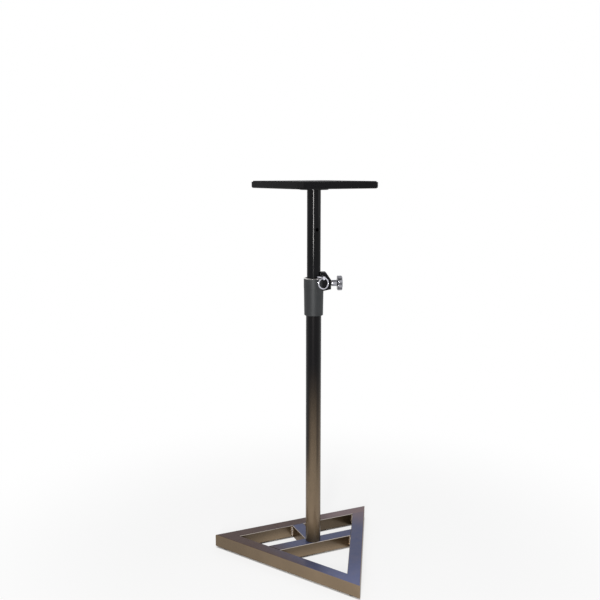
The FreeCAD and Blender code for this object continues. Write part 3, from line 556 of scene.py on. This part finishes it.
class StandStage(bpy.types.PropertyGroup):
    """Camera, floor and light."""

    eye: bpy.props.FloatVectorProperty(
        name="Eye", description="Camera position", subtype="TRANSLATION", unit="LENGTH",
        default=(-0.7471, -1.5357, 0.8975))
    azimuth: bpy.props.FloatProperty(
        name="Azimuth", description="Direction of view, from +Y towards -X", subtype="ANGLE",
        default=math.radians(-24.09))
    pitch: bpy.props.FloatProperty(
        name="Pitch", description="Tilt of the camera below the horizon", subtype="ANGLE",
        default=math.radians(9.23))
    lens: bpy.props.FloatProperty(
        name="Lens", description="Focal length on a 36 mm sensor", subtype="DISTANCE_CAMERA",
        default=47.1)
    floor_colour: colour_of("Floor", (0.92, 0.92, 0.92))
    key_power: bpy.props.FloatProperty(
        name="Key light", description="Power of the key softbox", subtype="POWER", default=38)
    fill_power: bpy.props.FloatProperty(
        name="Fill light", description="Power of the fill softbox", subtype="POWER", default=8)
    sky: bpy.props.FloatProperty(
        name="Room light", description="Strength of the even light of the room", default=0.4)


# ---------------------------------------------------------------- operators

class StandPiece:
    """What the operators that make or paint pieces share."""

    bl_options = {"REGISTER", "UNDO"}

    @property
    def finishes(self):
        return bpy.context.scene.stand_finishes

    @property
    def details(self):
        return bpy.context.scene.stand_details


class STAND_OT_cad_finishes(StandPiece, bpy.types.Operator):
    """Give every CAD piece its real finish"""

    bl_idname = "stand.cad_finishes"
    bl_label = "CAD finishes"

    def execute(self, context):
        settings = self.finishes
        bronze = metallic_bronze(settings)
        mast = metallic_bronze(settings, "mast_bronze", MAST_REFLECTION_HEIGHTS)
        black = gloss_black(settings)
        zinc = zinc_plate(settings)
        brass = turned_brass(settings)
        nylon = dark_nylon(settings)
        chrome = bright_chrome(settings)
        # The pin's chrome is a lighter copy: painted light
        pin = bright_chrome(settings, "pin_chrome", shine=2.0)
        rubber = pebbled_rubber(settings)
        wanted = {
            bronze: ("base_beam_back", "base_beam_left", "base_beam_right", "base_crossbar",
                     "base_spine", "base_welds"),
            mast: ("lower_tube",),
            black: ("upper_tube", "head_flange"),
            zinc: ("mast_foot_plug", "mast_washer", "mast_bolt", "collar_grub_screw",
                   "clamp_screw", "flange_screws"),
            brass: ("clamp_insert", "clamp_pad"),
            nylon: ("guide_bush", "mast_glide"),
            chrome: ("clamp_knob", "pull_ring"),
            pin: ("safety_pin",),
            rubber: ("plate_mat", "foot_pad_left", "foot_pad_right", "foot_pad_front"),
            cast_grey(settings): ("collar",),
            moulded_black(settings): ("clamp_block",),
            lacquered_board(settings): ("top_plate",),
        }
        missing = set(frame["nodes"]) - {name for names in wanted.values() for name in names}
        if missing:
            raise RuntimeError(f"no finish for {sorted(missing)}")
        for material, names in wanted.items():
            for name in names:
                for slot in frame["nodes"][name].material_slots:
                    slot.material = material
        return {"FINISHED"}


class STAND_OT_weld_beads(StandPiece, bpy.types.Operator):
    """Rippled weld beads in the upright inner corners of the base"""

    bl_idname = "stand.weld_beads"
    bl_label = "Weld beads"

    RINGS_PER_RIPPLE = 4
    PROUD = 0.35  # how far a bead's centre stands out of its corner, in radii
    TAPERED_END = 0.55  # radius of a bead's very end, in radii

    def corners(self):
        """Each bead's corner from the mast and the turn of the corner's bisector, in degrees."""
        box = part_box("base_crossbar")
        middle = (box[0].y + box[1].y) / 2 - MAST.y
        half = BEAM / 2
        inner = INRADIUS - BEAM
        back, front = middle + half, middle - half
        spots = []
        for sign in (1, -1):
            for x, y, turn in (
                    ((inner + back * 0.5) / math.cos(HALF_CORNER), back, 120),
                    ((inner + front * 0.5) / math.cos(HALF_CORNER), front, 210),
                    (half, back, 45),
                    (half, inner, -45),
                    (inner * math.sqrt(3), inner, 210)):
                spots.append((sign * x, y, turn if sign > 0 else 180 - turn))
        spots.append((0, -2 * inner, 90))
        return spots

    def execute(self, context):
        radius = self.details.weld_radius
        low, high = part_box("base_welds")
        tall = high.z - low.z
        rings = self.details.weld_ripples * self.RINGS_PER_RIPPLE
        rise = tall / rings
        reach = radius * self.PROUD
        bm = bmesh.new()
        for number, (x, y, direction) in enumerate(self.corners()):
            before = set(bm.verts)
            bmesh.ops.create_circle(bm, cap_ends=True, segments=14, radius=radius)
            ring = {v for v in bm.verts if v not in before}
            foot = next(f for f in bm.faces if set(f.verts) == ring)
            face = foot
            for _ in range(rings):
                face = drawn_out(bm, face, foot)
                bmesh.ops.translate(bm, vec=(0, 0, rise), verts=face.verts)
            made = [v for v in bm.verts if v not in before]
            for vert in made:
                phase = vert.co.z / rise / self.RINGS_PER_RIPPLE * math.tau
                swell = 1 + 0.10 * math.sin(phase) + 0.05 * math.sin(phase * 0.37 + number)
                ends = min(vert.co.z, tall - vert.co.z) / radius
                swell *= min(1, self.TAPERED_END + (1 - self.TAPERED_END) * ends)
                vert.co.x *= swell
                vert.co.y *= swell
            turn = math.radians(direction)
            bmesh.ops.translate(bm, verts=made, vec=(
                MAST.x + x + reach * math.cos(turn), MAST.y + y + reach * math.sin(turn), low.z))
        put("weld_beads", bm, "base",
            metallic_bronze(self.finishes, "bronze_over_weld"), ["base_welds"])
        return {"FINISHED"}


class STAND_OT_clamp_knob(StandPiece, bpy.types.Operator):
    """Chromed knob with rounded flutes, a dished face and a stepped hub"""

    bl_idname = "stand.clamp_knob"
    bl_label = "Clamp knob"

    CORNERS_PER_FLUTE = 16
    FLUTE_SHARPNESS = 1.6
    HUB_ROUND = 0.6 * MM  # rounding of the hub's free end
    HUB_FILLET = 1.6 * MM  # hollow round between hub and head
    FILLET_GAP = 2.2 * MM  # from the start of that round to the head
    OVERLAP = 0.3 * MM  # how far the hub reaches into the head
    START, INSIDE = 0.5, 0.62  # the head's first ring and the hub's end in it, in radii
    DISH = (  # the dished face's rings: radius as a share of the knob's, and depth
        (0.70, 0.0), (0.66, 0.5 * MM), (0.30, 0.9 * MM), (0.04, 0.9 * MM))

    def execute(self, context):
        details = self.details
        low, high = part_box("clamp_knob")
        radius = (high.z - low.z) / 2
        start, end = clamp_ends("clamp_knob")
        corners = along_clamp("clamp_knob")
        hub = max(wide for along, wide in corners if along < start + 1 * MM)
        flat = min(along for along, wide in corners if wide > hub + 1 * MM)
        matrix = frame_along(CLAMP_AXIS, CLAMP_AT_MAST)
        bm = bmesh.new()
        bmesh.ops.create_circle(bm, cap_ends=True, radius=radius,
                                segments=details.flutes * self.CORNERS_PER_FLUTE)
        for vert in bm.verts:
            turn = math.atan2(vert.co.y, vert.co.x) * details.flutes
            dip = details.flute_depth * (0.5 + 0.5 * math.cos(turn)) ** self.FLUTE_SHARPNESS
            vert.co *= (radius - dip) / radius
        bottom = next(iter(bm.faces))
        face, size, level = bottom, radius * self.START, flat
        self.resize(bm, face, radius, size, level)
        for wider, higher in self.rings(radius, flat, end):
            face = drawn_out(bm, face, bottom)
            self.resize(bm, face, size, wider, higher - level)
            size, level = wider, higher
        bmesh.ops.transform(bm, matrix=matrix, verts=bm.verts)
        turned(bm, self.hub_profile(start, flat, hub, radius * self.INSIDE), matrix)
        put("clamp_knob_turned", bm, "clamp_spindle",
            bright_chrome(self.finishes, "knob_chrome",
                          (matrix, radius - details.flute_depth, radius)), ["clamp_knob"])
        return {"FINISHED"}

    @staticmethod
    def resize(bm, face, size, wanted, rise):
        """Lift a face and scale it from one size to another."""
        bmesh.ops.translate(bm, vec=(0, 0, rise), verts=face.verts)
        bmesh.ops.scale(bm, vec=(wanted / size, wanted / size, 1), verts=face.verts)

    def rings(self, radius, flat, end):
        """Size and level of each ring of the knob's head, after the first."""
        edge = self.details.knob_edge
        return [*arc((radius - edge, flat + edge), edge, -90, 0, 6),
                *arc((radius - edge, end - edge), edge, 0, 90, 6),
                *((radius * share, end - depth) for share, depth in self.DISH)]

    def hub_profile(self, start, flat, hub, inner):
        """Half profile of the hub, from its free end into the head."""
        rounding, fillet = self.HUB_ROUND, self.HUB_FILLET
        neck = flat - self.FILLET_GAP
        return [(0.0, start), *arc((hub - rounding, start + rounding), rounding, -90, 0, 3),
                (hub, neck), *arc((hub + fillet, neck), fillet, 180, 90, 4),
                (inner, flat + self.OVERLAP), (0.0, flat + self.OVERLAP)]


class STAND_OT_clamp_screw(StandPiece, bpy.types.Operator):
    """Threaded clamp screw with a chamfered end"""

    bl_idname = "stand.clamp_screw"
    bl_label = "Clamp screw"

    CORNERS_PER_TURN = 24
    CHAMFER = (0.2 * MM, 0.3 * MM)  # how much thinner the core's end is, and over what length
    COVER = 0.05 * MM  # how far the core stands over the thread's root
    RUN_OUT = 0.4 * MM  # bare core at each end of the thread
    CREST = (0.42, 0.58)  # where the thread's crest starts and ends, in pitches

    def execute(self, context):
        details = self.details
        low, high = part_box("clamp_screw")
        start, end = clamp_ends("clamp_screw")
        radius = (high.z - low.z) / 2
        root = radius - details.thread_depth
        pitch = details.thread_pitch
        thinner, chamfer = self.CHAMFER
        matrix = frame_along(CLAMP_AXIS, CLAMP_AT_MAST)
        bm = bmesh.new()
        turned(bm, [(0.0, start), (root - thinner, start), (root + self.COVER, start + chamfer),
                    (root + self.COVER, end), (0.0, end)], matrix, 40)
        before = set(bm.verts)
        ridge = [bm.verts.new((wide, 0, start + self.RUN_OUT + rise)) for wide, rise in (
            (root - thinner, 0), (radius, pitch * self.CREST[0]),
            (radius, pitch * self.CREST[1]), (root - thinner, pitch))]
        edges = [bm.edges.new(pair) for pair in zip(ridge, ridge[1:])]
        turns = int((end - start - 2 * self.RUN_OUT) / pitch) - 1
        bmesh.ops.spin(bm, geom=ridge + edges, cent=(0, 0, 0), axis=(0, 0, 1),
                       dvec=(0, 0, pitch / self.CORNERS_PER_TURN), angle=math.tau * turns,
                       steps=self.CORNERS_PER_TURN * turns, use_merge=False,
                       use_duplicate=False)
        made = [v for v in bm.verts if v not in before]
        bmesh.ops.transform(bm, matrix=matrix, verts=made)
        bmesh.ops.holes_fill(bm, edges=[e for e in bm.edges if e.is_boundary], sides=4)
        put("clamp_screw_threaded", bm, "clamp_spindle",
            zinc_plate(self.finishes), ["clamp_screw"])
        return {"FINISHED"}


class STAND_OT_pull_ring(StandPiece, bpy.types.Operator):
    """Round wire ring hanging in the pin"""

    bl_idname = "stand.pull_ring"
    bl_label = "Pull ring"

    def execute(self, context):
        low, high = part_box("pull_ring")
        outer = (high.z - low.z) / 2
        wire = high.z - RING_PLACE.z
        radius = outer - wire
        centre = RING_PLACE - Vector((0, 0, radius))
        bm = bmesh.new()
        bmesh.ops.create_circle(bm, cap_ends=False, segments=20, radius=wire)
        section = list(bm.verts)
        bmesh.ops.translate(bm, vec=(radius, 0, 0), verts=section)
        bmesh.ops.rotate(bm, cent=(radius, 0, 0), matrix=Matrix.Rotation(math.pi / 2, 3, "X"),
                         verts=section)
        bmesh.ops.spin(bm, geom=section + list(bm.edges), cent=(0, 0, 0), axis=(0, 0, 1),
                       dvec=(0, 0, 0), angle=math.tau, steps=96, use_merge=True,
                       use_duplicate=False)
        bmesh.ops.transform(bm, matrix=frame_along(PIN_AXIS, centre), verts=bm.verts)
        # The ring's chrome is a lighter copy: painted light
        put("pull_ring_wire", bm, "ring",
            bright_chrome(self.finishes, "ring_chrome", shine=1.5), ["pull_ring"])
        return {"FINISHED"}


class STAND_OT_stage(bpy.types.Operator):
    """Floor, soft studio light and the camera"""

    bl_idname = "stand.stage"
    bl_label = "Stage"

    FLOOR_REACH = 30  # half the floor's side
    OTHER_RAYS = ("Is Glossy Ray", "Is Transmission Ray")  # besides the camera's own
    AIM = Vector((0, 0.05, 0.45))  # where the softboxes point
    BOXES = (  # name, place, width and height, setting for its power, tint
        ("key", (-1.22, -1.89, 0.76), (0.24, 0.54), "key_power", (1.0, 0.985, 0.96)),
        ("fill", (2.0, -0.9, 1.4), (1.2, 1.6), "fill_power", (0.96, 0.98, 1.0)),
        ("back", (0.4, 2.2, 1.9), (1.6, 1.0), "fill_power", (0.93, 0.95, 1.0)),
    )

    def execute(self, context):
        settings = context.scene.stand_stage
        self.floor(settings)
        self.world(settings)
        self.lights(settings)
        self.camera(context, settings)
        context.scene.view_settings.view_transform = "Standard"
        return {"FINISHED"}

    def floor(self, settings):
        """Plain floor, white to the camera except right under the base's tubes."""
        bm = bmesh.new()
        bmesh.ops.create_grid(bm, x_segments=1, y_segments=1, size=self.FLOOR_REACH)
        mesh = bpy.data.meshes.new("floor")
        bm.to_mesh(mesh)
        bm.free()
        shade = Shade("pale_floor", Roughness=0.9, Specular_IOR_Level=0.0)
        place = shade.place()
        shade.finish(shade.mix(shade.noise(place, 3) * 0.3, settings.floor_colour,
                               shades_of(settings.floor_colour, 1.03)[0]))
        x, y, _ = shade.axes(place)
        away = shade.ramp((x * x + y * y) ** 0.5, 0.35, 1.1)
        reach = shade.beam_reach(x, y)
        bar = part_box("base_crossbar")
        under_bar = (shade.band(y, (bar[0].y + bar[1].y) / 2)
                     * shade.ramp(reach, INRADIUS, INRADIUS - BEAM))
        under = shade.band(reach, INRADIUS - BEAM / 2).higher(under_bar)
        path = shade.node("ShaderNodeLightPath").link.node
        seen = Value(shade, path.outputs["Is Camera Ray"])
        for ray in self.OTHER_RAYS:
            seen = seen.higher(Value(shade, path.outputs[ray]))
        white = shade.node("ShaderNodeEmission", None, {"Strength": 1.0})
        lit = Value(shade, shade.shader.outputs[0])
        mixed = shade.node("ShaderNodeMixShader", None,
                           {0: seen * (away * 0.2 + 0.8) * (1 - under), 1: lit, 2: white})
        surface = next(n for n in shade.tree.nodes if n.type == "OUTPUT_MATERIAL")
        shade.tree.links.new(mixed.link, surface.inputs["Surface"])
        mesh.materials.append(shade.material)
        floor = bpy.data.objects.new("floor", mesh)
        bpy.context.scene.collection.objects.link(floor)

    def world(self, settings):
        """White to the camera and in reflections, softer as a light."""
        world = bpy.data.worlds.new("room")
        bpy.context.scene.world = world
        world.use_nodes = True
        nodes, links = world.node_tree.nodes, world.node_tree.links
        background = next(n for n in nodes if n.type == "BACKGROUND")
        path = nodes.new("ShaderNodeLightPath")
        seen = path.outputs["Is Camera Ray"]
        for ray in self.OTHER_RAYS:
            either = nodes.new("ShaderNodeMath")
            either.operation = "MAXIMUM"
            links.new(seen, either.inputs[0])
            links.new(path.outputs[ray], either.inputs[1])
            seen = either.outputs[0]
        strength = nodes.new("ShaderNodeMapRange")
        strength.inputs["To Min"].default_value = settings.sky
        strength.inputs["To Max"].default_value = 1.0
        links.new(seen, strength.inputs["Value"])
        links.new(strength.outputs[0], background.inputs["Strength"])
        background.inputs["Color"].default_value = (1, 1, 1, 1)

    def lights(self, settings):
        """Softboxes in front, on the right and behind."""
        for name, place, size, power, tint in self.BOXES:
            lamp = bpy.data.lights.new(name, "AREA")
            lamp.shape = "RECTANGLE"
            lamp.size, lamp.size_y = size
            lamp.energy = getattr(settings, power)
            lamp.color = tint
            holder = bpy.data.objects.new(name, lamp)
            bpy.context.scene.collection.objects.link(holder)
            holder.location = place
            away = self.AIM - holder.location
            holder.rotation_euler = away.to_track_quat("-Z", "Y").to_euler()

    def camera(self, context, settings):
        lens = bpy.data.cameras.new("camera")
        lens.lens = settings.lens
        lens.sensor_width = 36
        lens.sensor_fit = "HORIZONTAL"
        holder = bpy.data.objects.new("camera", lens)
        context.scene.collection.objects.link(holder)
        holder.location = settings.eye
        holder.rotation_euler = (math.pi / 2 - settings.pitch, 0, settings.azimuth)
        context.scene.camera = holder


PIECES = (STAND_OT_cad_finishes, STAND_OT_weld_beads, STAND_OT_clamp_knob,
          STAND_OT_clamp_screw, STAND_OT_pull_ring, STAND_OT_stage)


class STAND_PT_panel(bpy.types.Panel):
    """Lists the stand's operators and settings"""

    bl_idname = "STAND_PT_panel"
    bl_label = "Speaker Stand"
    bl_space_type = "VIEW_3D"
    bl_region_type = "UI"
    bl_category = "Stand"

    def draw(self, context):
        for piece in PIECES:
            self.layout.operator(piece.bl_idname)
        for group in (context.scene.stand_finishes, context.scene.stand_details,
                      context.scene.stand_stage):
            column = self.layout.column()
            for name in group.__annotations__:
                column.prop(group, name)


GROUPS = {"stand_finishes": StandFinishes, "stand_details": StandDetails,
          "stand_stage": StandStage}
CLASSES = (*GROUPS.values(), *PIECES, STAND_PT_panel)


def register():
    for item in CLASSES:
        bpy.utils.register_class(item)
    for name, group in GROUPS.items():
        setattr(bpy.types.Scene, name, bpy.props.PointerProperty(type=group))


def unregister():
    for name in GROUPS:
        delattr(bpy.types.Scene, name)
    for item in reversed(CLASSES):
        bpy.utils.unregister_class(item)


def main():
    """Build the dressed stand."""
    register()
    for piece in PIECES:
        getattr(bpy.ops.stand, piece.bl_idname.split(".")[1])()


if __name__ == "__main__":
    main()
